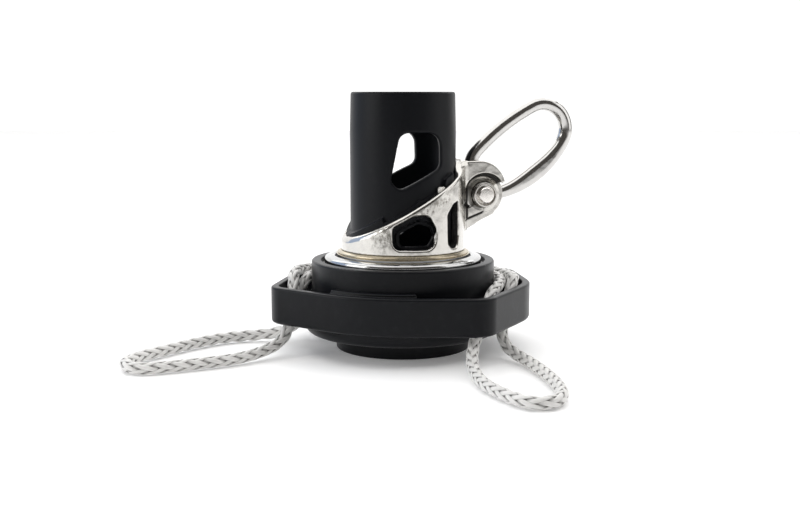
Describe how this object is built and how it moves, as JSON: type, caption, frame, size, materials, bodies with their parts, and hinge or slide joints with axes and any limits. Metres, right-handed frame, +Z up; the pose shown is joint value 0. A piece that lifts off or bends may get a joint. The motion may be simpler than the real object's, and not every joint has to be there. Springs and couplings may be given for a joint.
{
  "type": "halyard swivel",
  "caption": "Black ball-bearing housing with a strop band, under a polished saddle with a clevis and halyard link, on a tall black guide sleeve that slides on a foil.",
  "frame": {"origin": "centre of the through bore at the face the housing rests on", "axes": "+Z up along the bore and the swivel axis, +X from the axis towards the clevis pin"},
  "size_m": [0.2174, 0.1922, 0.1195],
  "materials": {
    "black_housing": "matt black anodised",
    "black_sleeve": "satin black moulding",
    "polished_casting": "polished stainless casting",
    "polished_steel": "mirror polished",
    "straw_ring": "turned, straw-tinted",
    "stainless": "turned",
    "bearing_steel": "ground",
    "ball_steel": "lapped",
    "cage_plastic": "natural moulding",
    "seal_rubber": "smooth",
    "strop_line": "braided silver-grey line",
    "whipping_twine": "waxed twine"
  },
  "bodies": {
    "housing": {"swivel_housing": "black_housing", "strop_band": "black_housing", "base_ring": "black_housing", "base_ring_screws": "stainless", "lower_seal": "seal_rubber", "lower_outer_race": "bearing_steel", "outer_race_spacer": "bearing_steel", "upper_outer_race": "bearing_steel", "top_ring": "polished_steel", "top_circlip": "stainless", "upper_seal": "seal_rubber", "strop": "strop_line", "strop_whipping": "whipping_twine"},
    "saddle": {"halyard_saddle": "polished_casting", "halyard_clevis": "polished_casting", "guide_sleeve": "black_sleeve", "inner_race_sleeve": "bearing_steel", "upper_inner_race": "bearing_steel", "inner_spacer": "bearing_steel", "wear_ring": "straw_ring", "sleeve_retaining_ring": "stainless", "shackle_pin": "stainless", "pin_collar_front": "stainless", "pin_collar_rear": "stainless"},
    "lower_ball_set": {"lower_ball_cage": "cage_plastic", "lower_balls": "ball_steel"},
    "upper_ball_set": {"upper_ball_cage": "cage_plastic", "upper_balls": "ball_steel"},
    "link": {"halyard_link": "polished_casting", "link_bush": "cage_plastic"}
  },
  "joints": [
    {"name": "swivel", "type": "hinge", "parent": "housing", "child": "saddle", "pos_m": [0, 0, 0], "axis": [0, 0, 1], "continuous": true},
    {"name": "lower_ball_orbit", "type": "hinge", "parent": "housing", "child": "lower_ball_set", "pos_m": [0, 0, 0], "axis": [0, 0, 1], "continuous": true},
    {"name": "upper_ball_orbit", "type": "hinge", "parent": "housing", "child": "upper_ball_set", "pos_m": [0, 0, 0], "axis": [0, 0, 1], "continuous": true},
    {"name": "link_hinge", "type": "hinge", "parent": "saddle", "child": "link", "pos_m": [0.0374, 0, 0.0716], "axis": [0, -1, 0], "range_deg": [-68, 10]}
  ],
  "couplings": [
    {"joint": "lower_ball_orbit", "follows": "swivel", "ratio": 0.453},
    {"joint": "upper_ball_orbit", "follows": "swivel", "ratio": 0.453}
  ]
}
